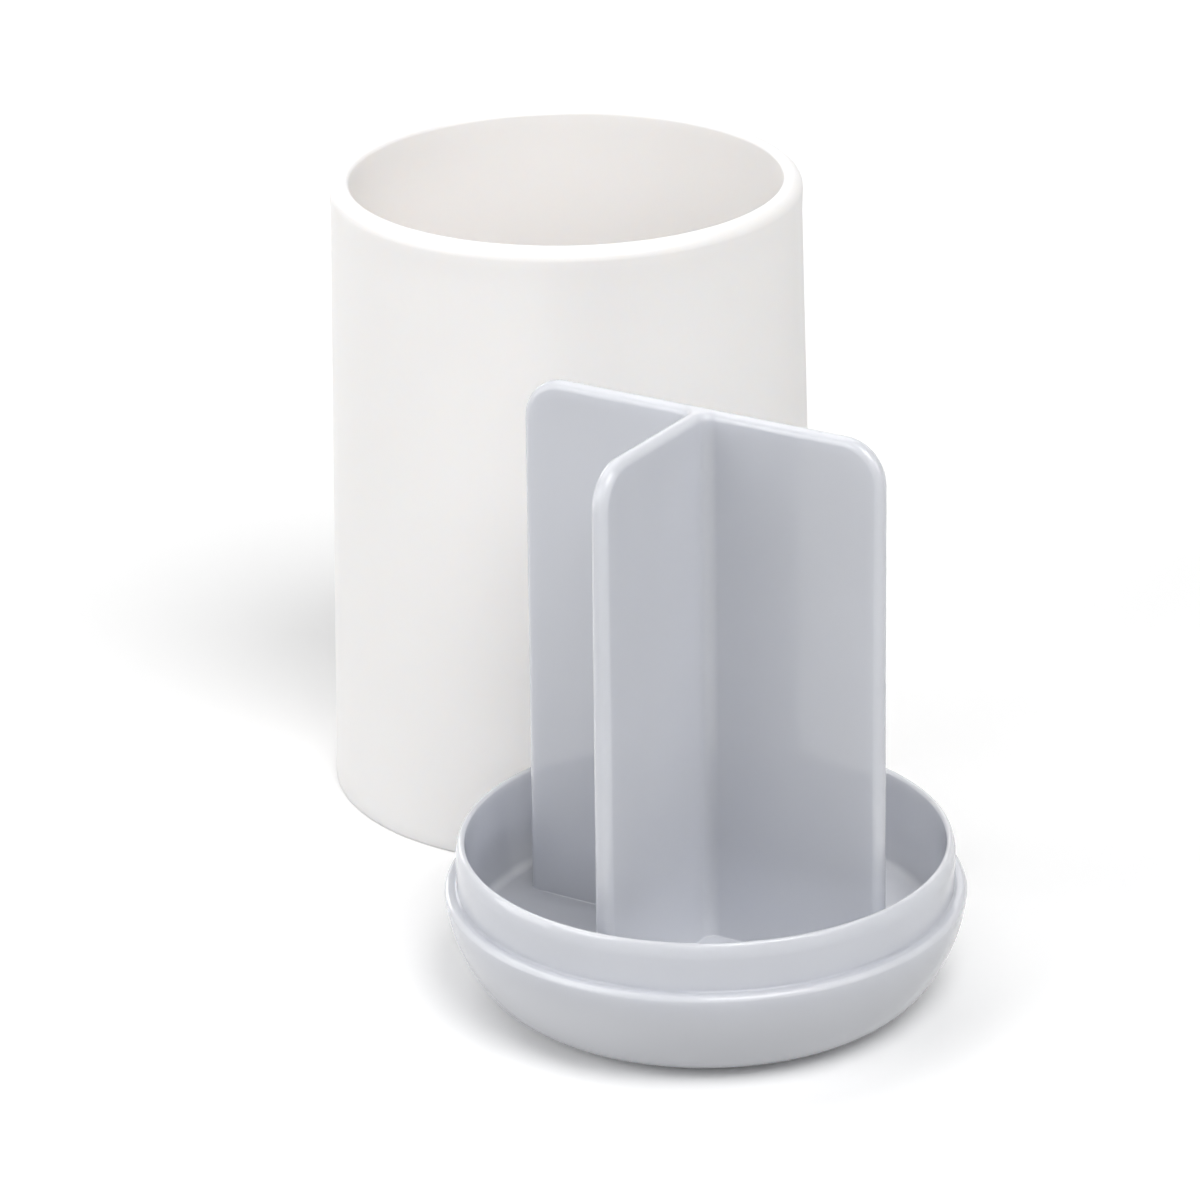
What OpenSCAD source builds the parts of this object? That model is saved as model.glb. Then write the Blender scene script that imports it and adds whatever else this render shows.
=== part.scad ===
// Toothbrush holder that comes apart for washing.
// An open sleeve stands beside a dish with a three-bladed divider.
// In use the sleeve is lowered over the divider until its foot rests on the dish's shoulder.
// Millimetres. +Z is up. The origin is on the dish's axis, on the surface that it stands on.
// The two side blades lie along X and the front blade points along -Y.

/* [Sleeve] */
// Height of the sleeve
sleeve_h = 104; // [90:1:130]
// Outer diameter of the sleeve at its foot
sleeve_foot_d = 81; // [76:0.5:95]
// How much narrower the sleeve is at its rim, across its diameter
sleeve_taper = 4.9; // [0:0.1:6]
// Wall of the sleeve at its foot
sleeve_foot_wall = 1.9; // [1.8:0.1:3]
// Wall of the sleeve just under its rim
sleeve_rim_wall = 2.9; // [2.7:0.1:3.5]
// Radius of the rim's outer edge
rim_outer_r = 2; // [1:0.1:2]
// Radius of the rim's inner edge
rim_inner_r = 0.7; // [0.3:0.1:0.8]
// How far the wall swells out at the rim's outer edge
rim_swell = 0.2; // [0:0.05:0.5]
// Height over which the wall swells out
rim_swell_h = 3.5; // [1:0.1:8]
// Chamfer round the outside of the sleeve's foot
foot_chamfer = 0.4; // [0.1:0.1:0.8]
// Lead-in chamfer round the inside of the sleeve's foot
lead_in = 0.8; // [0.3:0.1:1.2]
// Gap between the sleeve and the dish when they stand side by side
stand_gap = 4.4; // [1:0.1:40]
// Direction of the sleeve from the dish when they stand side by side, in degrees
stand_angle = 135.6; // [90:0.1:180]

/* [Dish] */
// Height of the dish's rim above the table
dish_h = 24.7; // [22:0.1:34]
// Height of the shoulder that the sleeve's foot rests on
shoulder_h = 17.1; // [16:0.1:19]
// How far the dish's widest line lies inside the sleeve's foot
lip_inset = 0.5; // [0:0.1:1]
// Radius of the shoulder's outer edge
lip_round_r = 0.8; // [0.4:0.1:1.5]
// Clearance between the spigot's rim and the sleeve's bore
spigot_gap = 0.15; // [0.1:0.05:0.6]
// Wall of the spigot at its rim
spigot_wall = 1.4; // [1.2:0.1:2]
// How much narrower the spigot's neck is than its rim
neck_in = 0.1; // [0:0.1:0.8]
// Draft of the dish's inner wall, from its rim to its floor
inner_draft = 0.7; // [0:0.1:1]
// Height of the dish's floor above the table
floor_h = 9; // [8.5:0.1:10]
// Wall under the dish's floor
floor_wall = 2.4; // [2:0.1:2.8]
// Radius where the floor meets the inner wall
floor_fillet_r = 1.5; // [0.5:0.1:2.5]
// Radius of the dish's curved side
side_arc_r = 24; // [22:0.5:26]
// Height of that curve's centre above the shoulder
side_arc_rise = 1.4; // [0:0.1:2]
// Angle at which the side's curve passes into the bottom's curve, in degrees
side_arc_turn = 36; // [30:1:40]

/* [Divider] */
// Height of the divider's top above the table
divider_top_h = 94.1; // [70:0.5:115]
// Thickness of the blades
blade_t = 2.9; // [2.6:0.1:4]
// Gap between a side blade's outer edge and the spigot's rim
side_blade_gap = 7.3; // [4.5:0.1:12]
// Gap between the front blade's outer edge and the spigot's rim
front_blade_gap = 8.1; // [4.5:0.1:12]
// Radius of the blades' top outer corners
blade_corner_r = 6.6; // [3:0.1:12]
// Radius along the blades' edges
blade_edge_r = 1.2; // [0.4:0.1:1.2]
// Radius in the two corners where the front blade leaves the side blades
crease_r = 2.5; // [0.5:0.1:3]
// Reach of the foot that is pressed into the dish, from the axis
tenon_reach = 20; // [12:0.5:22]
// Depth of that foot below the dish's floor
tenon_depth = 5; // [3:0.1:5.2]
// Wall round the socket that holds it
socket_wall = 2; // [1.5:0.1:2.5]

/* [Foot disc] */
// Diameter of the non-slip disc
disc_d = 48; // [46:0.5:49]
// Thickness of the disc
disc_t = 1.4; // [1:0.1:1.8]
// How far the disc stands out below the dish
disc_proud = 0.4; // [0.3:0.1:0.6]
// Clearance round the disc
disc_gap = 0.15; // [0.1:0.05:0.4]
// Chamfer round the disc's lower edge
disc_chamfer = 0.3; // [0.1:0.1:0.3]
// Width of the ledge that the disc's edge rests against
disc_ledge = 3; // [2:0.1:5]

/* [Hidden] */
$fn = 96;

// A small overrun for cuts and for shapes that are joined
overrun = 0.5;

// The sleeve's radii at its foot and under its rim
foot_out_r = sleeve_foot_d / 2;
rim_out_r = (sleeve_foot_d - sleeve_taper) / 2;
foot_in_r = foot_out_r - sleeve_foot_wall;
rim_in_r = rim_out_r - sleeve_rim_wall;

// Radius of the sleeve's outside and of its bore at a height above its foot
function sleeve_out_r(z) = foot_out_r + (rim_out_r - foot_out_r) * z / sleeve_h;
function sleeve_bore_r(z) = foot_in_r + (rim_in_r - foot_in_r) * z / sleeve_h;

// The dish's radii: its lip, the spigot's rim and neck, and the inner wall
lip_r = foot_out_r - lip_inset;
spigot_h = dish_h - shoulder_h;
spigot_r = sleeve_bore_r(spigot_h) - spigot_gap;
neck_r = spigot_r - neck_in;
inner_rim_r = spigot_r - spigot_wall;
inner_floor_r = inner_rim_r - inner_draft;

// The dish's side curve starts at its lip, and its bottom curve is tangent to it and to the foot
lip_h = shoulder_h - lip_round_r;
side_arc_h = shoulder_h + side_arc_rise;
side_arc_x = lip_r - sqrt(pow(side_arc_r, 2) - pow(side_arc_h - lip_h, 2));
turn_h = side_arc_h - side_arc_r * sin(side_arc_turn);
bottom_arc_r = (turn_h - disc_proud) / (1 - sin(side_arc_turn));
bottom_arc_x = side_arc_x + (side_arc_r - bottom_arc_r) * cos(side_arc_turn);
bottom_arc_h = disc_proud + bottom_arc_r;

// Where the sleeve stands beside the dish
stand_distance = lip_r + foot_out_r + stand_gap;
sleeve_x = stand_distance * cos(stand_angle);
sleeve_y = stand_distance * sin(stand_angle);

// The blades' reach from the axis
side_blade_reach = spigot_r - side_blade_gap;
front_blade_reach = spigot_r - front_blade_gap;

// The underside of the floor, and the recess below it
floor_under_h = floor_h - floor_wall;
disc_seat_r = disc_d / 2 + disc_gap;
recess_r = disc_seat_r - disc_ledge;

// Half of the sleeve's wall in section, from its chamfered foot to its rounded rim
module sleeve_section() {
    outer_x = sleeve_out_r(sleeve_h - rim_outer_r) - rim_outer_r + rim_swell;
    swell_h = sleeve_h - rim_outer_r - rim_swell_h;
    inner_x = sleeve_bore_r(sleeve_h - rim_inner_r) + rim_inner_r;
    polygon([
        [foot_in_r + lead_in / 2, 0],
        [foot_out_r - foot_chamfer, 0],
        [sleeve_out_r(foot_chamfer), foot_chamfer],
        [sleeve_out_r(swell_h), swell_h],
        [outer_x + rim_outer_r, sleeve_h - rim_outer_r],
        [outer_x, sleeve_h - rim_outer_r],
        [outer_x, sleeve_h],
        [inner_x, sleeve_h],
        [inner_x, sleeve_h - rim_inner_r],
        [sleeve_bore_r(sleeve_h - rim_inner_r), sleeve_h - rim_inner_r],
        [sleeve_bore_r(lead_in), lead_in]
    ]);
    translate([outer_x, sleeve_h - rim_outer_r]) circle(rim_outer_r);
    translate([inner_x, sleeve_h - rim_inner_r]) circle(rim_inner_r);
}

module sleeve() {
    color("#f3f1ee")
    translate([sleeve_x, sleeve_y, 0])
    rotate_extrude() sleeve_section();
}

// The dish in section with nothing taken out of it
module dish_outer_section() {
    // Bottom curve
    intersection() {
        translate([bottom_arc_x, bottom_arc_h]) circle(bottom_arc_r);
        translate([bottom_arc_x, disc_proud]) square([bottom_arc_r, turn_h - disc_proud]);
    }
    translate([0, disc_proud]) square([bottom_arc_x, turn_h - disc_proud]);
    // Side curve
    intersection() {
        translate([side_arc_x, side_arc_h]) circle(side_arc_r);
        translate([side_arc_x, turn_h]) square([side_arc_r, lip_h - turn_h]);
    }
    translate([0, turn_h]) square([side_arc_x, lip_h - turn_h]);
    // Shoulder with its rounded edge
    translate([0, lip_h]) square([lip_r - lip_round_r, lip_round_r]);
    translate([lip_r - lip_round_r, lip_h]) circle(lip_round_r);
    // Spigot with its rounded rim
    edge_r = spigot_wall / 2;
    polygon([
        [0, lip_h],
        [neck_r, lip_h],
        [neck_r, shoulder_h],
        [spigot_r, dish_h - edge_r],
        [spigot_r - edge_r, dish_h],
        [0, dish_h]
    ]);
    translate([spigot_r - edge_r, dish_h - edge_r]) circle(edge_r);
}

// The space inside the dish in section
module dish_inner_section() {
    polygon([
        [0, floor_h],
        [inner_floor_r - floor_fillet_r, floor_h],
        [inner_floor_r, floor_h + floor_fillet_r],
        [inner_rim_r, dish_h - spigot_wall / 2],
        [inner_rim_r, dish_h + overrun],
        [0, dish_h + overrun]
    ]);
    intersection() {
        translate([inner_floor_r - floor_fillet_r, floor_h + floor_fillet_r]) circle(floor_fillet_r);
        translate([0, floor_h]) square([inner_floor_r, floor_fillet_r]);
    }
}

// Three bars from the axis, along +X, -X and -Y, as the blades and their socket need them
module three_bars(reach, thickness, height) {
    translate([-reach, -thickness / 2, 0]) cube([2 * reach, thickness, height]);
    translate([-thickness / 2, -reach, 0]) cube([thickness, reach, height]);
}

module dish() {
    tenon_h = floor_h - tenon_depth;
    color("#c3c7cf")
    difference() {
        union() {
            difference() {
                rotate_extrude() difference() {
                    dish_outer_section();
                    dish_inner_section();
                }
                // Recess under the floor
                translate([0, 0, disc_proud])
                cylinder(h = floor_under_h - disc_proud, r = recess_r);
            }
            // Socket for the divider's foot, down to the disc
            translate([0, 0, disc_t])
            three_bars(tenon_reach + socket_wall, blade_t + 2 * socket_wall,
                floor_under_h - disc_t + floor_wall / 2);
        }
        translate([0, 0, tenon_h]) three_bars(tenon_reach, blade_t, tenon_depth + overrun);
        // Seat for the disc
        translate([0, 0, -overrun])
        cylinder(h = disc_t + overrun, r = disc_seat_r);
    }
}

// A blade's outline, with its top outer corner rounded, drawn back from its edges by an inset
module blade_outline(reach, inset) {
    edge_x = reach - inset;
    edge_h = divider_top_h - inset;
    corner_r = blade_corner_r - inset;
    translate([0, floor_h]) square([edge_x - corner_r, edge_h - floor_h]);
    translate([0, floor_h]) square([edge_x, edge_h - corner_r - floor_h]);
    translate([edge_x - corner_r, edge_h - corner_r]) circle(corner_r);
}

module blade_slab(reach, inset, thickness) {
    translate([0, thickness / 2, 0])
    rotate([90, 0, 0])
    linear_extrude(thickness) blade_outline(reach, inset);
}

// The round that runs up a blade's outer edge, round its corner and along its top
module blade_edge(reach) {
    corner_x = reach - blade_corner_r;
    corner_h = divider_top_h - blade_corner_r;
    translate([reach - blade_edge_r, 0, floor_h])
    cylinder(h = corner_h - floor_h, r = blade_edge_r);
    translate([0, 0, divider_top_h - blade_edge_r])
    rotate([0, 90, 0])
    cylinder(h = corner_x, r = blade_edge_r);
    translate([corner_x, 0, corner_h])
    rotate([90, 0, 0])
    rotate_extrude(angle = 90)
    translate([blade_corner_r - blade_edge_r, 0]) circle(blade_edge_r);
}

module blade(reach) {
    blade_slab(reach, 0, blade_t - 2 * blade_edge_r);
    blade_slab(reach, blade_edge_r, blade_t);
    for (side = [-1, 1])
        translate([0, side * (blade_t / 2 - blade_edge_r), 0]) blade_edge(reach);
}

// The hollow round in the corner between the front blade and the side blade along +X
module crease() {
    translate([blade_t / 2, -blade_t / 2 - crease_r, floor_h])
    linear_extrude(divider_top_h - blade_edge_r - floor_h)
    difference() {
        translate([-overrun, 0]) square([crease_r + overrun, crease_r + overrun]);
        translate([crease_r, 0]) circle(crease_r);
    }
}

module divider() {
    color("#c3c7cf") {
        blade(side_blade_reach);
        mirror([1, 0, 0]) blade(side_blade_reach);
        rotate([0, 0, -90]) blade(front_blade_reach);
        crease();
        mirror([1, 0, 0]) crease();
        translate([0, 0, floor_h - tenon_depth])
        three_bars(tenon_reach, blade_t, tenon_depth + overrun);
    }
}

module foot_disc() {
    color("#8f949c") {
        cylinder(h = disc_chamfer, r1 = disc_d / 2 - disc_chamfer, r2 = disc_d / 2);
        translate([0, 0, disc_chamfer])
        cylinder(h = disc_t - disc_chamfer, d = disc_d);
    }
}

sleeve();
dish();
divider();
foot_disc();
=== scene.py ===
"""A toothbrush holder that comes apart: an open sleeve beside a dish with a three-bladed divider."""

import math
from types import SimpleNamespace

import bmesh
import bpy
from bpy.props import FloatProperty, FloatVectorProperty, IntProperty, PointerProperty
from bpy.types import Operator, Panel, PropertyGroup
from mathutils import Matrix, Vector


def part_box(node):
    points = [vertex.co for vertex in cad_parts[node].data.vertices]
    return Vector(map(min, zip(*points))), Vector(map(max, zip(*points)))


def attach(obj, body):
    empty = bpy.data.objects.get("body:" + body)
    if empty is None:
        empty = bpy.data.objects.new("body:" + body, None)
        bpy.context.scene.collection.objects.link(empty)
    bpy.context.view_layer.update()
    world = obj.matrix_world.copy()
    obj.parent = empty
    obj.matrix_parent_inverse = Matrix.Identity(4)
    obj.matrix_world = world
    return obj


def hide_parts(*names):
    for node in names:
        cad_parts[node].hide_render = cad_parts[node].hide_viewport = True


bl_info = {
    "name": "Toothbrush holder",
    "version": (1, 0, 0),
    "blender": (4, 5, 0),
    "location": "3D View > Sidebar > Holder",
    "description": "Builds the sleeve, dish, divider and foot disc of a toothbrush holder, and its stage",
    "category": "Object",
}

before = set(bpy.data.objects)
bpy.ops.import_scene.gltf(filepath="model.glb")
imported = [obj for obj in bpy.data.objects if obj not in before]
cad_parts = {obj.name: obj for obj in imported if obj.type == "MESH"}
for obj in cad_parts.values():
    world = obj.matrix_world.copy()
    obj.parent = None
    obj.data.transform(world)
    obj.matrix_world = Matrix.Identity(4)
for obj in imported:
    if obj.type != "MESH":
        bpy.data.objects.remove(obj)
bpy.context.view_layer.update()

# Lengths are modelled in millimetres, and the finished meshes are in metres
MM = 0.001

# Points nearer to each other than this, in millimetres, are one point
MERGE_DISTANCE = 0.001

# The frame's boxes give the driving sizes
SLEEVE_LOW, SLEEVE_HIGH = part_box("sleeve")
DISH_LOW, DISH_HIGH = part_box("dish")
DIVIDER_LOW, DIVIDER_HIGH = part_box("divider")
DISC_LOW, DISC_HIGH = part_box("foot_disc")


# Sizes, colours and settings

def length(name, description, default_mm):
    """A length property whose default is given in millimetres."""
    return FloatProperty(
        name=name, description=description, default=default_mm * MM, min=0.0, unit="LENGTH", precision=5
    )


def angle(name, description, default_degrees):
    """An angle property whose default is given in degrees."""
    return FloatProperty(
        name=name, description=description, default=math.radians(default_degrees), subtype="ANGLE"
    )


def amount(name, description, default):
    """An amount property, which has no unit."""
    return FloatProperty(name=name, description=description, default=default, min=0.0)


def steps(name, description, default):
    """A count property: how many straight steps a curve is made of."""
    return IntProperty(name=name, description=description, default=default, min=1)


def colour(name, description, default):
    """A colour property in linear red, green and blue."""
    return FloatVectorProperty(
        name=name, description=description, default=default, size=3, min=0.0, max=1.0, subtype="COLOR"
    )


class SleeveSizes(PropertyGroup):
    """Sizes of the sleeve."""

    height: length("Height", "Height of the sleeve", (SLEEVE_HIGH.z - SLEEVE_LOW.z) / MM)
    foot_radius: length("Foot radius", "Outer radius at the foot", (SLEEVE_HIGH.x - SLEEVE_LOW.x) / 2 / MM)
    taper: length("Taper", "How much smaller the outer radius is at the rim", 2.45)
    foot_wall: length("Wall at foot", "Wall thickness at the foot", 1.9)
    rim_wall: length("Wall at rim", "Wall thickness just under the rim", 2.9)
    rim_outer_round: length("Rim outer round", "Radius of the rim's outer edge", 2.0)
    rim_inner_round: length("Rim inner round", "Radius of the rim's inner edge", 0.7)
    rim_swell: length("Rim swell", "How far the wall swells out at the rim", 0.2)
    swell_height: length("Swell height", "Height over which the wall swells out", 3.5)
    swell_round: length("Swell round", "Radius that blends the swell into the wall", 40.0)
    foot_round: length("Foot round", "Radius of the outer edge of the foot", 0.4)
    lead_in: length("Lead-in", "Height of the lead-in inside the foot", 0.8)
    lead_in_width: length("Lead-in width", "How much wider the bore is at the lead-in's foot", 0.4)
    lead_in_round: length("Lead-in round", "Radius of the edge between lead-in and foot", 0.2)
    outer_steps: steps("Outer steps", "Steps in the rim's outer edge", 14)
    inner_steps: steps("Inner steps", "Steps in the rim's inner edge", 8)


class DishSizes(PropertyGroup):
    """Sizes of the dish."""

    height: length("Height", "Height of the rim above the table", DISH_HIGH.z / MM)
    lip_radius: length("Lip radius", "Radius of the widest line", DISH_HIGH.x / MM)
    shoulder_height: length("Shoulder height", "Height of the shoulder", 17.1)
    lip_round: length("Lip round", "Radius of the shoulder's outer edge", 0.8)
    spigot_radius: length("Spigot radius", "Outer radius of the spigot", 38.2)
    rim_round: length("Rim round", "Radius of the spigot's rim", 0.5)
    lead_radius: length("Lead radius", "Radius of the easy curve from the rim to the spigot's side", 5.0)
    lead_turn: angle("Lead turn", "Angle at which the rim's round passes into that curve", 25.0)
    neck_in: length("Neck", "How much smaller the spigot is at its neck", 0.1)
    neck_round: length("Neck round", "Radius in the corner between shoulder and spigot", 0.4)
    inner_draft: length("Inner draft", "How much smaller the inside is at the floor", 0.7)
    floor_height: length("Floor height", "Height of the floor above the table", 9.0)
    floor_wall: length("Floor wall", "Wall under the floor", 2.4)
    floor_round: length("Floor round", "Radius where the floor meets the inner wall", 1.5)
    side_radius: length("Side radius", "Radius of the side's curve", 24.0)
    side_rise: length("Side rise", "Height of the side curve's centre above the shoulder", 1.4)
    side_turn: angle("Side turn", "Angle at which the side curve passes into the bottom curve", 36.0)
    ledge: length("Ledge", "Width of the ledge that holds the foot disc", 3.0)
    rim_steps: steps("Rim steps", "Steps in the spigot's rim", 20)
    lead_steps: steps("Lead steps", "Steps in the easy curve under the rim", 10)
    lip_steps: steps("Lip steps", "Steps in the shoulder's outer edge", 12)
    side_steps: steps("Side steps", "Steps in each of the two curves of the side", 24)
    floor_steps: steps("Floor steps", "Steps where the floor meets the inner wall", 8)
    seat_steps: steps("Seat steps", "Steps in the fine edges of the foot disc's seat", 3)


class DividerSizes(PropertyGroup):
    """Sizes of the divider."""

    top_height: length("Top height", "Height of the top above the table", DIVIDER_HIGH.z / MM)
    side_reach: length("Side reach", "Reach of the side blades from the axis", DIVIDER_HIGH.x / MM)
    front_reach: length("Front reach", "Reach of the front blade from the axis", -DIVIDER_LOW.y / MM)
    thickness: length("Thickness", "Thickness of the blades halfway up", 2.0 * DIVIDER_HIGH.y / MM)
    draft: angle("Draft", "How far the blades' faces lean inwards towards the top", 0.19)
    corner_round: length("Corner round", "Radius of the blades' top outer corners", 6.6)
    edge_round: length("Edge round", "Radius along the blades' edges", 1.25)
    crease_round: length("Crease round", "Radius in the corners beside the front blade", 1.9)
    foot_round: length("Foot round", "Radius where the blades meet the dish's floor", 0.25)
    foot_sink: length("Foot sink", "How far the foot's thin edge lies under the dish's floor", 0.02)
    crease_steps: steps("Crease steps", "Steps in the corners beside the front blade", 10)
    corner_steps: steps("Corner steps", "Steps in the blades' top outer corners", 16)
    edge_steps: steps("Edge steps", "Steps across the blades' edges", 7)
    foot_steps: steps("Foot steps", "Steps where the blades meet the dish's floor", 4)
    sharp_turn: angle("Sharp turn", "Least angle between two faces whose edge is rounded", 30.0)


class FootDiscSizes(PropertyGroup):
    """Sizes of the foot disc."""

    radius: length("Radius", "Radius of the disc", DISC_HIGH.x / MM)
    thickness: length("Thickness", "Thickness of the disc", (DISC_HIGH.z - DISC_LOW.z) / MM)
    edge_round: length("Edge round", "Radius round the disc's lower edge", 0.3)
    gap: length("Gap", "Clearance round the disc", 0.15)


class HolderFinish(PropertyGroup):
    """Colours and fineness of the holder."""

    sleeve_colour: colour("Sleeve", "Colour of the sleeve's plastic", (0.928, 0.908, 0.897))
    tinted_colour: colour("Dish and divider", "Colour of the tinted plastic", (0.614, 0.627, 0.665))
    disc_colour: colour("Foot disc", "Colour of the disc's rubber", (0.17, 0.18, 0.20))
    turn_steps: steps("Turn steps", "Steps in a full turn of the round pieces", 240)
    corner_steps: steps("Corner steps", "Steps in the small rounded corners of a profile", 6)


class StageSettings(PropertyGroup):
    """Camera, floor and light."""

    azimuth: angle("Azimuth", "Direction of the camera round the holder", 32.0)
    elevation: angle("Elevation", "Height of the camera above the horizon", 22.4773)
    roll: angle("Roll", "Tilt of the camera about its own line of sight", -0.8775)
    distance: length("Distance", "Distance from the camera to what it aims at", 768.53)
    aim_side: FloatProperty(
        name="Aim side", description="How far right of the dish the camera aims", default=-15.517 * MM,
        unit="LENGTH",
    )
    aim_height: length("Aim height", "Height that the camera aims at", 63.76)
    lens: FloatProperty(
        name="Lens", description="Focal length in millimetres", default=153.98, unit="CAMERA"
    )
    clip_near: length("Clip near", "Nearest distance that the camera sees", 10.0)
    clip_far: length("Clip far", "Farthest distance that the camera sees", 100000.0)
    floor_radius: length("Floor radius", "Radius of the floor", 6000.0)
    floor_steps: steps("Floor steps", "Steps round the floor's edge", 96)
    floor_colour: colour("Floor", "Colour of the floor in the light that it throws back", (0.6, 0.6, 0.6))
    floor_roughness: amount("Floor roughness", "Roughness of the floor", 0.9)
    floor_glow: amount("Floor glow", "How much whiter the floor is seen near the holder", 0.04)
    floor_near: length("Floor near", "Distance within which the floor shows shadows in full", 250.0)
    floor_far: length("Floor far", "Distance from which the floor is seen as plain white", 1800.0)
    world_level: amount("World level", "Level of the light from all round", 0.0)
    lamp_level: amount("Lamp level", "Level that scales all lamps", 1.07)
    wall_bounces: IntProperty(
        name="Wall bounces", description="How often light goes to and fro between the pale walls",
        default=12, min=0,
    )


def in_millimetres(sizes):
    """A property group's lengths in millimetres, and its angles and counts as they are, by name."""
    values = {}
    for name in sizes.__annotations__:
        value = getattr(sizes, name)
        is_length = sizes.bl_rna.properties[name].unit == "LENGTH"
        values[name] = value / MM if is_length else value
    return SimpleNamespace(**values)


# Drawing a profile in the XZ plane

# In all pieces, a name that ends in _r is a distance from the axis, and one that ends in _h is a height

def start_at(bm, x, z):
    """The first point of a profile."""
    return bm.verts.new((x, 0, z))


def line_to(bm, point, x, z):
    """Draws a straight stretch from a profile's end, and returns the new end."""
    made = bmesh.ops.extrude_vert_indiv(bm, verts=[point])
    end = made["verts"][0]
    end.co = (x, 0, z)
    return end


def arc_about(bm, point, x, z, turn, step_count):
    """Draws an arc about (x, z) from a profile's end, and returns the new end.

    A positive turn goes from +X to +Z.
    """
    made = bmesh.ops.spin(
        bm, geom=[point], cent=(x, 0, z), axis=(0, 1, 0), angle=-turn, steps=step_count, use_duplicate=False
    )
    return made["geom_last"][0]


def round_corner(bm, corner, radius, step_count):
    """Rounds one corner of a profile."""
    ways = [edge.other_vert(corner).co - corner.co for edge in corner.link_edges]
    half_angle = ways[0].angle(ways[1]) / 2
    bmesh.ops.bevel(
        bm, geom=[corner], offset=radius / math.tan(half_angle), offset_type="OFFSET", segments=step_count,
        profile=0.5, affect="VERTICES", material=-1,
    )


def turn_round_axis(bm, step_count):
    """Turns the profile into a body round the Z axis, and closes its poles."""
    bmesh.ops.spin(
        bm, geom=bm.verts[:] + bm.edges[:], cent=(0, 0, 0), axis=(0, 0, 1), angle=2 * math.pi,
        steps=step_count, use_merge=True, use_duplicate=False,
    )
    bmesh.ops.remove_doubles(bm, verts=bm.verts[:], dist=MERGE_DISTANCE)
    bmesh.ops.recalc_face_normals(bm, faces=bm.faces[:])


def finish_piece(bm, name, node, body, material, centre=(0, 0, 0)):
    """Makes the mesh a piece in metres round its centre, which stands for a node and rides on a body."""
    open_edges = [edge for edge in bm.edges if not edge.is_manifold]
    if open_edges:
        bm.free()
        raise RuntimeError(f"{name} has {len(open_edges)} edges that don't close")
    bmesh.ops.scale(bm, vec=(MM, MM, MM), verts=bm.verts[:])
    bmesh.ops.translate(bm, vec=centre, verts=bm.verts[:])
    for face in bm.faces:
        face.smooth = True
    mesh = bpy.data.meshes.new(name)
    bm.to_mesh(mesh)
    bm.free()
    mesh.materials.append(material)
    piece = bpy.data.objects.new(name, mesh)
    bpy.context.scene.collection.objects.link(piece)
    piece.modifiers.new("Weighted normals", "WEIGHTED_NORMAL")
    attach(piece, body)
    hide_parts(node)


# Materials

# A noise pattern stays mostly between these two values
NOISE_LOW = 0.3
NOISE_HIGH = 0.7


def new_material(name):
    """A new material with its shader and object coordinates, or an old one of that name without them."""
    material = bpy.data.materials.get(name)
    if material is not None:
        return material, None, None
    material = bpy.data.materials.new(name)
    material.use_nodes = True
    tree = material.node_tree
    shader = tree.nodes["Principled BSDF"]
    coordinates = tree.nodes.new("ShaderNodeTexCoord")
    return material, shader, coordinates.outputs["Object"]


def noise(tree, where, size_mm, detail):
    """A noise pattern whose blots are about size_mm across."""
    pattern = tree.nodes.new("ShaderNodeTexNoise")
    pattern.inputs["Scale"].default_value = 1 / (size_mm * MM)
    pattern.inputs["Detail"].default_value = detail
    tree.links.new(where, pattern.inputs["Vector"])
    return pattern.outputs["Fac"]


def between(tree, pattern, low, high):
    """Spreads a pattern, which stays near its middle, over a range of values."""
    spread = tree.nodes.new("ShaderNodeMapRange")
    spread.inputs["From Min"].default_value = NOISE_LOW
    spread.inputs["From Max"].default_value = NOISE_HIGH
    spread.inputs["To Min"].default_value = low
    spread.inputs["To Max"].default_value = high
    tree.links.new(pattern, spread.inputs["Value"])
    return spread.outputs["Result"]


def above(tree, where, low_mm, high_mm):
    """0 below the lower height and 1 above the upper one."""
    parts = tree.nodes.new("ShaderNodeSeparateXYZ")
    tree.links.new(where, parts.inputs["Vector"])
    ramp = tree.nodes.new("ShaderNodeMapRange")
    ramp.inputs["From Min"].default_value = low_mm * MM
    ramp.inputs["From Max"].default_value = high_mm * MM
    tree.links.new(parts.outputs["Z"], ramp.inputs["Value"])
    return ramp.outputs["Result"]


def mixed_colour(tree, pattern, first, second):
    """A colour that goes from the first to the second with a pattern."""
    mix = tree.nodes.new("ShaderNodeMix")
    mix.data_type = "RGBA"
    tree.links.new(pattern, mix.inputs["Factor"])
    mix.inputs["A"].default_value = (*first, 1)
    mix.inputs["B"].default_value = (*second, 1)
    return mix.outputs["Result"]


def bump(tree, shader, patterns):
    """Adds surface relief, as pairs of a pattern and its depth in millimetres."""
    last = None
    for pattern, depth_mm in patterns:
        relief = tree.nodes.new("ShaderNodeBump")
        relief.inputs["Strength"].default_value = 1.0
        relief.inputs["Distance"].default_value = depth_mm * MM
        tree.links.new(pattern, relief.inputs["Height"])
        if last is not None:
            tree.links.new(last, relief.inputs["Normal"])
        last = relief.outputs["Normal"]
    tree.links.new(last, shader.inputs["Normal"])


def shaded(tint, factor):
    """A colour made darker or lighter by a factor."""
    return [min(1.0, part * factor) for part in tint]


def add_tint(tree, shader, cloud, tint, unevenness):
    """Gives the shader a colour that gets darker and lighter by a share with a cloudy pattern."""
    share = between(tree, cloud, 0, 1)
    darker = shaded(tint, 1 - unevenness)
    lighter = shaded(tint, 1 + unevenness)
    tree.links.new(mixed_colour(tree, share, darker, lighter), shader.inputs["Base Color"])


# In each finish, sizes and depths are in millimetres

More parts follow.
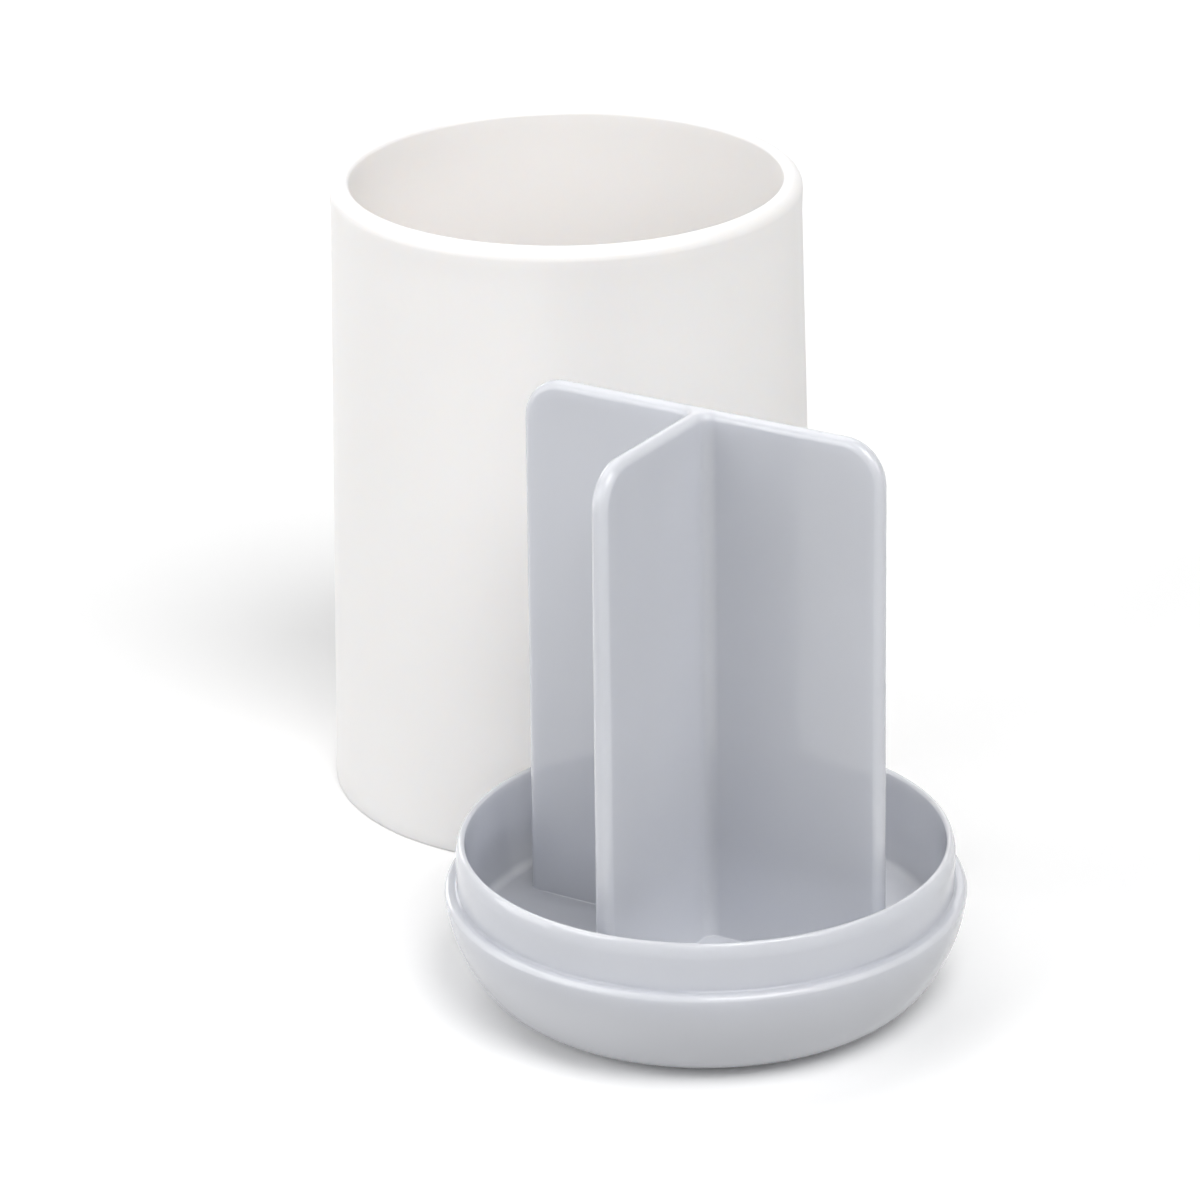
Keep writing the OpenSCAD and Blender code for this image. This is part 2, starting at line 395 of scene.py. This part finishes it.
def satin_plastic(tint):
    """Off-white moulded plastic with a soft sheen and a very fine grain."""
    material, shader, where = new_material("satin_plastic")
    if shader is None:
        return material
    cloud_size = 40
    grain_size = 0.35
    unevenness = 0.01
    smoothest = 0.36
    roughest = 0.44
    milkiness = 0.5
    spread_by_colour = (1.0, 0.9, 0.8)
    spread_depth = 3
    cloud_relief = 0.02
    grain_relief = 0.002
    tree = material.node_tree
    cloud = noise(tree, where, cloud_size, detail=2)
    grain = noise(tree, where, grain_size, detail=2)
    add_tint(tree, shader, cloud, tint, unevenness)
    tree.links.new(between(tree, grain, smoothest, roughest), shader.inputs["Roughness"])
    shader.inputs["Subsurface Weight"].default_value = milkiness
    shader.inputs["Subsurface Radius"].default_value = spread_by_colour
    shader.inputs["Subsurface Scale"].default_value = spread_depth * MM
    bump(tree, shader, [(cloud, cloud_relief), (grain, grain_relief)])
    return material


def glossy_tinted_plastic(tint):
    """Pale grey-blue moulded plastic, polished and milky, with the faint unevenness of a moulding."""
    material, shader, where = new_material("glossy_tinted_plastic")
    if shader is None:
        return material
    cloud_size = 25
    ripple_size = 6
    grain_size = 0.5
    unevenness = 0.015
    smoothest = 0.07
    roughest = 0.10
    refraction = 1.58
    # No light is drawn out of the plastic where the divider's foot covers the dish's floor
    milky_from_height = 11
    fully_milky_height = 15
    spread_by_colour = (1.0, 1.0, 1.0)
    spread_depth = 3
    ripple_relief = 0.004
    grain_relief = 0.0005
    tree = material.node_tree
    cloud = noise(tree, where, cloud_size, detail=2)
    ripple = noise(tree, where, ripple_size, detail=1)
    grain = noise(tree, where, grain_size, detail=2)
    add_tint(tree, shader, cloud, tint, unevenness)
    tree.links.new(between(tree, grain, smoothest, roughest), shader.inputs["Roughness"])
    shader.inputs["IOR"].default_value = refraction
    milkiness = above(tree, where, milky_from_height, fully_milky_height)
    tree.links.new(milkiness, shader.inputs["Subsurface Weight"])
    shader.inputs["Subsurface Radius"].default_value = spread_by_colour
    shader.inputs["Subsurface Scale"].default_value = spread_depth * MM
    bump(tree, shader, [(ripple, ripple_relief), (grain, grain_relief)])
    return material


def silicone_rubber(tint):
    """Matt grey rubber with a fine grain."""
    material, shader, where = new_material("silicone_rubber")
    if shader is None:
        return material
    cloud_size = 8
    grain_size = 0.4
    unevenness = 0.08
    smoothest = 0.62
    roughest = 0.74
    grain_relief = 0.01
    tree = material.node_tree
    cloud = noise(tree, where, cloud_size, detail=3)
    grain = noise(tree, where, grain_size, detail=3)
    add_tint(tree, shader, cloud, tint, unevenness)
    tree.links.new(between(tree, grain, smoothest, roughest), shader.inputs["Roughness"])
    bump(tree, shader, [(grain, grain_relief)])
    return material


# Pieces

class HOLDER_OT_sleeve(Operator):
    """Builds the open sleeve"""

    bl_idname = "holder.sleeve"
    bl_label = "Sleeve"

    def execute(self, context):
        size = in_millimetres(context.scene.holder_sleeve)
        finish = context.scene.holder_finish
        centre = (SLEEVE_LOW + SLEEVE_HIGH) / 2
        centre.z = SLEEVE_LOW.z

        def outer_radius(height):
            return size.foot_radius - size.taper * height / size.height

        def bore_radius(height):
            foot = size.foot_radius - size.foot_wall
            rim = size.foot_radius - size.taper - size.rim_wall
            return foot + (rim - foot) * height / size.height

        outer_centre_h = size.height - size.rim_outer_round
        outer_centre_r = outer_radius(outer_centre_h) - size.rim_outer_round + size.rim_swell
        inner_centre_h = size.height - size.rim_inner_round
        inner_centre_r = bore_radius(inner_centre_h) + size.rim_inner_round
        swell_h = outer_centre_h - size.swell_height

        # From the foot up the outside, over the rim and down the bore
        bm = bmesh.new()
        foot_edge = start_at(bm, size.foot_radius, 0)
        swell = line_to(bm, foot_edge, outer_radius(swell_h), swell_h)
        point = line_to(bm, swell, outer_centre_r + size.rim_outer_round, outer_centre_h)
        point = arc_about(bm, point, outer_centre_r, outer_centre_h, math.pi / 2, size.outer_steps)
        point = line_to(bm, point, inner_centre_r, size.height)
        point = arc_about(bm, point, inner_centre_r, inner_centre_h, math.pi / 2, size.inner_steps)
        lead_top = line_to(bm, point, bore_radius(size.lead_in), size.lead_in)
        lead_foot = line_to(bm, lead_top, bore_radius(0) + size.lead_in_width, 0)
        bm.edges.new((lead_foot, foot_edge))
        round_corner(bm, foot_edge, size.foot_round, finish.corner_steps)
        round_corner(bm, swell, size.swell_round, finish.corner_steps)
        round_corner(bm, lead_top, size.lead_in, finish.corner_steps)
        round_corner(bm, lead_foot, size.lead_in_round, finish.corner_steps)
        turn_round_axis(bm, finish.turn_steps)
        material = satin_plastic(finish.sleeve_colour)
        finish_piece(bm, "sleeve_shell", "sleeve", "sleeve", material, centre)
        return {"FINISHED"}


class HOLDER_OT_dish(Operator):
    """Builds the dish with its shoulder and spigot"""

    bl_idname = "holder.dish"
    bl_label = "Dish"

    def execute(self, context):
        size = in_millimetres(context.scene.holder_dish)
        disc = in_millimetres(context.scene.holder_foot_disc)
        finish = context.scene.holder_finish

        # The lip's round, and under it the side's curve, which passes smoothly into the bottom's curve
        lip_h = size.shoulder_height - size.lip_round
        lip_r = size.lip_radius - size.lip_round
        side_h = size.shoulder_height + size.side_rise
        side_r = size.lip_radius - math.sqrt(size.side_radius**2 - (side_h - lip_h) ** 2)
        start_turn = math.asin((side_h - lip_h) / size.side_radius)
        turn_h = side_h - size.side_radius * math.sin(size.side_turn)
        foot_h = DISH_LOW.z / MM
        bottom_radius = (turn_h - foot_h) / (1 - math.sin(size.side_turn))
        bottom_h = foot_h + bottom_radius
        bottom_r = side_r + (size.side_radius - bottom_radius) * math.cos(size.side_turn)

        # The rim's round, which passes smoothly into the easy curve under it
        lead_step = size.lead_radius - size.rim_round
        lead_r = size.spigot_radius - size.lead_radius
        rim_h = size.height - size.rim_round
        rim_r = lead_r + lead_step * math.cos(size.lead_turn)
        lead_h = rim_h - lead_step * math.sin(size.lead_turn)
        inner_rim_r = rim_r - size.rim_round
        inner_floor_r = inner_rim_r - size.inner_draft

        # The foot disc's seat, and the recess above it
        seat_r = disc.radius + disc.gap
        under_h = size.floor_height - size.floor_wall

        # From the floor's middle up the inner wall, over the rim, down the outside and into the recess
        bm = bmesh.new()
        point = start_at(bm, 0, size.floor_height)
        floor_edge = line_to(bm, point, inner_floor_r, size.floor_height)
        point = line_to(bm, floor_edge, inner_rim_r, rim_h)
        point = arc_about(bm, point, rim_r, rim_h, size.lead_turn - math.pi, size.rim_steps)
        point = arc_about(bm, point, lead_r, lead_h, -size.lead_turn, size.lead_steps)
        neck = line_to(bm, point, size.spigot_radius - size.neck_in, size.shoulder_height)
        point = line_to(bm, neck, lip_r, size.shoulder_height)
        point = arc_about(bm, point, lip_r, lip_h, -math.pi / 2, size.lip_steps)
        point = arc_about(bm, point, side_r, side_h, start_turn - size.side_turn, size.side_steps)
        point = arc_about(bm, point, bottom_r, bottom_h, size.side_turn - math.pi / 2, size.side_steps)
        seat_edge = line_to(bm, point, seat_r, foot_h)
        seat_corner = line_to(bm, seat_edge, seat_r, disc.thickness)
        ledge = line_to(bm, seat_corner, seat_r - size.ledge, disc.thickness)
        recess = line_to(bm, ledge, seat_r - size.ledge, under_h)
        line_to(bm, recess, 0, under_h)
        round_corner(bm, floor_edge, size.floor_round, size.floor_steps)
        round_corner(bm, neck, size.neck_round, finish.corner_steps)
        # The seat's corners are rounded by as much as the disc is clear of them
        for corner in (seat_edge, seat_corner, ledge, recess):
            round_corner(bm, corner, disc.gap, size.seat_steps)
        turn_round_axis(bm, finish.turn_steps)
        material = glossy_tinted_plastic(finish.tinted_colour)
        finish_piece(bm, "dish_body", "dish", "base", material)
        return {"FINISHED"}


def bevel_edges(bm, edges, radius, step_count):
    """Rounds edges with a radius."""
    bmesh.ops.bevel(
        bm, geom=edges, offset=radius, offset_type="OFFSET", segments=step_count, profile=0.5,
        affect="EDGES", clamp_overlap=False, loop_slide=True, material=-1,
    )


def flare_foot(bm, radius, step_count):
    """Flares the lowest face outwards and downwards in a hollow quarter round."""
    foot = min(bm.faces, key=lambda face: face.calc_center_median().z)
    for step in range(step_count):
        first = math.pi / 2 * step / step_count
        second = math.pi / 2 * (step + 1) / step_count
        outward = radius * (math.cos(first) - math.cos(second))
        downward = radius * (math.sin(second) - math.sin(first))
        bmesh.ops.inset_region(bm, faces=[foot], thickness=-outward, use_boundary=True, use_even_offset=True)
        bmesh.ops.translate(bm, vec=(0, 0, -downward), verts=foot.verts[:])


class HOLDER_OT_divider(Operator):
    """Builds the divider with its three blades"""

    bl_idname = "holder.divider"
    bl_label = "Divider"

    def execute(self, context):
        size = in_millimetres(context.scene.holder_divider)
        floor_h = in_millimetres(context.scene.holder_dish).floor_height
        finish = context.scene.holder_finish
        foot_h = floor_h + size.foot_round - size.foot_sink
        lean = math.tan(size.draft) * (size.top_height - foot_h)
        half = size.thickness / 2 + lean / 2
        side = size.side_reach + lean / 2
        front = size.front_reach + lean / 2

        # The plan is drawn at the foot, and each side of it leans in towards the top
        plan = (
            (-side, -half), (-half, -half), (-half, -front), (half, -front),
            (half, -half), (side, -half), (side, half), (-side, half),
        )
        bm = bmesh.new()
        foot = bm.faces.new([bm.verts.new((x, y, foot_h)) for x, y in plan])
        made = bmesh.ops.extrude_face_region(bm, geom=[foot], use_keep_orig=True)
        for item in made["geom"]:
            if isinstance(item, bmesh.types.BMVert):
                x, y, _ = item.co
                item.co = (x - math.copysign(lean, x), y - math.copysign(lean, y), size.top_height)
        bmesh.ops.recalc_face_normals(bm, faces=bm.faces[:])

        def is_crease(edge):
            """Whether the edge is a corner beside the front blade."""
            return all(
                max(abs(v.co.x), abs(v.co.y)) < size.thickness and v.co.y < 0 for v in edge.verts
            )

        def is_top_end(edge):
            """Whether the edge is a blade's top outer end."""
            return edge.calc_length() < size.thickness and all(
                v.co.z > foot_h and max(abs(v.co.x), abs(v.co.y)) > size.corner_round for v in edge.verts
            )

        def is_at_foot(edge):
            """Whether the edge lies round the foot."""
            return all(abs(v.co.z - foot_h) < MERGE_DISTANCE for v in edge.verts)

        creases = [edge for edge in bm.edges if is_crease(edge)]
        bevel_edges(bm, creases, size.crease_round, size.crease_steps)
        top_ends = [edge for edge in bm.edges if is_top_end(edge)]
        bevel_edges(bm, top_ends, size.corner_round, size.corner_steps)
        sharp_edges = [
            edge for edge in bm.edges if edge.calc_face_angle() > size.sharp_turn and not is_at_foot(edge)
        ]
        bevel_edges(bm, sharp_edges, size.edge_round, size.edge_steps)
        flare_foot(bm, size.foot_round, size.foot_steps)
        bmesh.ops.recalc_face_normals(bm, faces=bm.faces[:])
        material = glossy_tinted_plastic(finish.tinted_colour)
        finish_piece(bm, "divider_blades", "divider", "base", material)
        return {"FINISHED"}


class HOLDER_OT_foot_disc(Operator):
    """Builds the non-slip disc under the dish"""

    bl_idname = "holder.foot_disc"
    bl_label = "Foot disc"

    def execute(self, context):
        size = in_millimetres(context.scene.holder_foot_disc)
        finish = context.scene.holder_finish
        bm = bmesh.new()
        point = start_at(bm, 0, size.thickness)
        upper = line_to(bm, point, size.radius, size.thickness)
        lower = line_to(bm, upper, size.radius, 0)
        line_to(bm, lower, 0, 0)
        round_corner(bm, lower, size.edge_round, finish.corner_steps)
        turn_round_axis(bm, finish.turn_steps)
        material = silicone_rubber(finish.disc_colour)
        finish_piece(bm, "foot_disc_pad", "foot_disc", "base", material)
        return {"FINISHED"}


# Stage

# Each lamp: name, azimuth and elevation in degrees, size in metres, power in watts
LAMPS = (
    ("lamp_left_low", -58, 8, 1.0, 5.6),
    ("lamp_left_front", -28, 30, 1.0, 7.0),
    ("lamp_left_high", -88, 58, 1.0, 4.4),
    ("lamp_left_back", -118, 14, 0.5, 2.2),
    ("lamp_front", 32, 30, 1.0, 2.8),
    ("lamp_right_high", 62, 58, 1.0, 14.4),
    ("lamp_right", 92, 30, 1.0, 4.2),
    ("lamp_back_high", 212, 58, 1.0, 4.6),
    ("lamp_back_low", 212, 28, 0.5, 0.6),
)

# Distance of the lamps from the dish in metres
LAMP_DISTANCE = 1.6

WHITE = (1, 1, 1)


def direction(azimuth, elevation):
    """The direction towards a lamp or camera, from azimuth and elevation in radians.

    Azimuth 0 is in front of the holder, towards -Y.
    """
    level = math.cos(elevation)
    return Vector((math.sin(azimuth) * level, -math.cos(azimuth) * level, math.sin(elevation)))


def add_camera(stage):
    """The camera at the photograph's viewing angle."""
    back = direction(stage.azimuth, stage.elevation)
    side = Vector((math.cos(stage.azimuth), math.sin(stage.azimuth), 0))
    aim = side * stage.aim_side + Vector((0, 0, stage.aim_height))
    camera_data = bpy.data.cameras.new("camera")
    camera_data.lens = stage.lens
    camera_data.clip_start = stage.clip_near
    camera_data.clip_end = stage.clip_far
    camera = bpy.data.objects.new("camera", camera_data)
    place = Matrix.Translation(aim + back * stage.distance)
    turn = back.to_track_quat("Z", "Y").to_matrix().to_4x4()
    camera.matrix_world = place @ turn @ Matrix.Rotation(stage.roll, 4, "Z")
    bpy.context.scene.collection.objects.link(camera)
    bpy.context.scene.camera = camera


def add_lamps(stage):
    """Soft lamps round the holder."""
    for name, azimuth, elevation, size, power in LAMPS:
        lamp = bpy.data.lights.new(name, "AREA")
        lamp.shape = "DISK"
        lamp.size = size
        lamp.energy = power * stage.lamp_level
        towards = direction(math.radians(azimuth), math.radians(elevation))
        lamp_object = bpy.data.objects.new(name, lamp)
        place = Matrix.Translation(towards * LAMP_DISTANCE)
        turn = towards.to_track_quat("Z", "Y").to_matrix().to_4x4()
        lamp_object.matrix_world = place @ turn
        bpy.context.scene.collection.objects.link(lamp_object)


def add_world(stage):
    """The surroundings, which the camera and reflections see as white, whatever light they give."""
    world = bpy.data.worlds.new("studio")
    world.use_nodes = True
    tree = world.node_tree
    background = tree.nodes["Background"]
    background.inputs["Color"].default_value = (*WHITE, 1)
    seen = seen_directly(tree)
    level = tree.nodes.new("ShaderNodeMapRange")
    level.inputs["To Min"].default_value = stage.world_level
    level.inputs["To Max"].default_value = 1.0
    tree.links.new(seen, level.inputs["Value"])
    tree.links.new(level.outputs["Result"], background.inputs["Strength"])
    bpy.context.scene.world = world


def seen_directly(tree):
    """1 for what the camera sees, itself or in a reflection, and 0 for light that falls on things."""
    path = tree.nodes.new("ShaderNodeLightPath")
    highest = path.outputs["Is Camera Ray"]
    for kind in ("Is Glossy Ray", "Is Transmission Ray"):
        larger = tree.nodes.new("ShaderNodeMath")
        larger.operation = "MAXIMUM"
        tree.links.new(highest, larger.inputs[0])
        tree.links.new(path.outputs[kind], larger.inputs[1])
        highest = larger.outputs["Value"]
    return highest


def pale_floor(stage):
    """A plain matt floor, which the camera and reflections see as white with the holder's shadow on it."""
    material = bpy.data.materials.new("pale_floor")
    material.use_nodes = True
    tree = material.node_tree
    shader = tree.nodes["Principled BSDF"]
    shader.inputs["Roughness"].default_value = stage.floor_roughness
    shader.inputs["Specular IOR Level"].default_value = 0.0
    seen = seen_directly(tree)
    tree.links.new(mixed_colour(tree, seen, stage.floor_colour, WHITE), shader.inputs["Base Color"])
    # The floor is seen whiter the further off it is, but lights nothing
    coordinates = tree.nodes.new("ShaderNodeTexCoord")
    away = tree.nodes.new("ShaderNodeVectorMath")
    away.operation = "LENGTH"
    tree.links.new(coordinates.outputs["Object"], away.inputs[0])
    whiter = tree.nodes.new("ShaderNodeMapRange")
    whiter.inputs["From Min"].default_value = stage.floor_near
    whiter.inputs["From Max"].default_value = stage.floor_far
    whiter.inputs["To Min"].default_value = stage.floor_glow
    tree.links.new(away.outputs["Value"], whiter.inputs["Value"])
    glow = tree.nodes.new("ShaderNodeMath")
    glow.operation = "MULTIPLY"
    tree.links.new(whiter.outputs["Result"], glow.inputs[0])
    tree.links.new(seen, glow.inputs[1])
    tree.links.new(glow.outputs["Value"], shader.inputs["Emission Strength"])
    return material


class HOLDER_OT_stage(Operator):
    """Sets up the floor, the light and the camera"""

    bl_idname = "holder.stage"
    bl_label = "Stage"

    def execute(self, context):
        stage = context.scene.holder_stage
        bm = bmesh.new()
        bmesh.ops.create_circle(bm, cap_ends=True, radius=stage.floor_radius, segments=stage.floor_steps)
        mesh = bpy.data.meshes.new("floor")
        bm.to_mesh(mesh)
        bm.free()
        mesh.materials.append(pale_floor(stage))
        floor = bpy.data.objects.new("floor", mesh)
        context.scene.collection.objects.link(floor)
        add_lamps(stage)
        add_world(stage)
        add_camera(stage)
        context.scene.view_settings.view_transform = "Standard"
        context.scene.cycles.diffuse_bounces = stage.wall_bounces
        return {"FINISHED"}


OPERATORS = (HOLDER_OT_sleeve, HOLDER_OT_dish, HOLDER_OT_divider, HOLDER_OT_foot_disc, HOLDER_OT_stage)

GROUPS = {
    "holder_sleeve": SleeveSizes,
    "holder_dish": DishSizes,
    "holder_divider": DividerSizes,
    "holder_foot_disc": FootDiscSizes,
    "holder_finish": HolderFinish,
    "holder_stage": StageSettings,
}


class HOLDER_PT_panel(Panel):
    """Lists the holder's pieces and its stage"""

    bl_label = "Toothbrush holder"
    bl_idname = "HOLDER_PT_panel"
    bl_space_type = "VIEW_3D"
    bl_region_type = "UI"
    bl_category = "Holder"

    def draw(self, context):
        for operator in OPERATORS:
            self.layout.operator(operator.bl_idname)
        for name, group in GROUPS.items():
            box = self.layout.box()
            for setting in group.__annotations__:
                box.prop(getattr(context.scene, name), setting)


CLASSES = (*GROUPS.values(), *OPERATORS, HOLDER_PT_panel)


def register():
    """Registers the classes, and the settings of the scene."""
    for item in CLASSES:
        bpy.utils.register_class(item)
    for name, group in GROUPS.items():
        setattr(bpy.types.Scene, name, PointerProperty(type=group))


def unregister():
    """Takes the settings and the classes away again."""
    for name in GROUPS:
        delattr(bpy.types.Scene, name)
    for item in reversed(CLASSES):
        bpy.utils.unregister_class(item)


def main():
    """Builds the pieces and the stage."""
    register()
    bpy.ops.holder.sleeve()
    bpy.ops.holder.dish()
    bpy.ops.holder.divider()
    bpy.ops.holder.foot_disc()
    bpy.ops.holder.stage()


if __name__ == "__main__":
    main()
